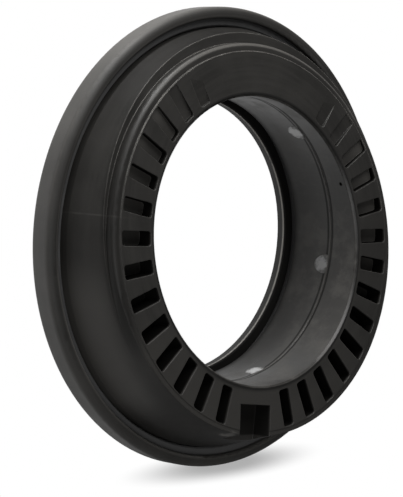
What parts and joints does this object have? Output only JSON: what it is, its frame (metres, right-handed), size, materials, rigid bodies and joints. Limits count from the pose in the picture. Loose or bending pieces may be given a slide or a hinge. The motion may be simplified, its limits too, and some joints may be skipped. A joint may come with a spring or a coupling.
{
  "type": "strut mount bearing",
  "caption": "Plastic-housed axial ball bearing for the top of a suspension strut, with a rimmed cap and a sloping, slotted spring seat that turns on a caged ring of balls.",
  "frame": {"origin": "on the bearing axis, in the plane of the flat cap end face", "axes": "+Z along the bearing axis from the cap to the spring seat, -Y towards the thick side of the seat and its index notch"},
  "size_m": [0.123, 0.123, 0.0354],
  "materials": {
    "cap_plastic": "fine moulded, satin",
    "seat_plastic": "fine moulded, matte",
    "race_steel": "ground",
    "ball_steel": "polished",
    "cage_plastic": "natural nylon",
    "seal_rubber": "matte"
  },
  "bodies": {
    "cap_side": {"cap": "cap_plastic", "cap_race": "race_steel", "outer_seal": "seal_rubber", "inner_seal": "seal_rubber"},
    "spring_side": {"spring_seat": "seat_plastic", "seat_race": "race_steel"},
    "ball_ring": {"ball_cage": "cage_plastic", "ball_01": "ball_steel", "ball_02": "ball_steel", "ball_03": "ball_steel", "ball_04": "ball_steel", "ball_05": "ball_steel", "ball_06": "ball_steel", "ball_07": "ball_steel", "ball_08": "ball_steel", "ball_09": "ball_steel", "ball_10": "ball_steel", "ball_11": "ball_steel", "ball_12": "ball_steel", "ball_13": "ball_steel", "ball_14": "ball_steel", "ball_15": "ball_steel", "ball_16": "ball_steel", "ball_17": "ball_steel", "ball_18": "ball_steel", "ball_19": "ball_steel", "ball_20": "ball_steel", "ball_21": "ball_steel", "ball_22": "ball_steel", "ball_23": "ball_steel", "ball_24": "ball_steel", "ball_25": "ball_steel", "ball_26": "ball_steel", "ball_27": "ball_steel", "ball_28": "ball_steel", "ball_29": "ball_steel", "ball_30": "ball_steel", "ball_31": "ball_steel", "ball_32": "ball_steel", "ball_33": "ball_steel", "ball_34": "ball_steel", "ball_35": "ball_steel", "ball_36": "ball_steel"}
  },
  "joints": [
    {"name": "seat_turn", "type": "hinge", "parent": "cap_side", "child": "spring_side", "pos_m": [0, 0, 0.0101], "axis": [0, 0, 1], "continuous": true},
    {"name": "cage_turn", "type": "hinge", "parent": "cap_side", "child": "ball_ring", "pos_m": [0, 0, 0.0101], "axis": [0, 0, 1], "continuous": true}
  ],
  "couplings": [
    {"joint": "cage_turn", "follows": "seat_turn", "ratio": 0.5}
  ]
}
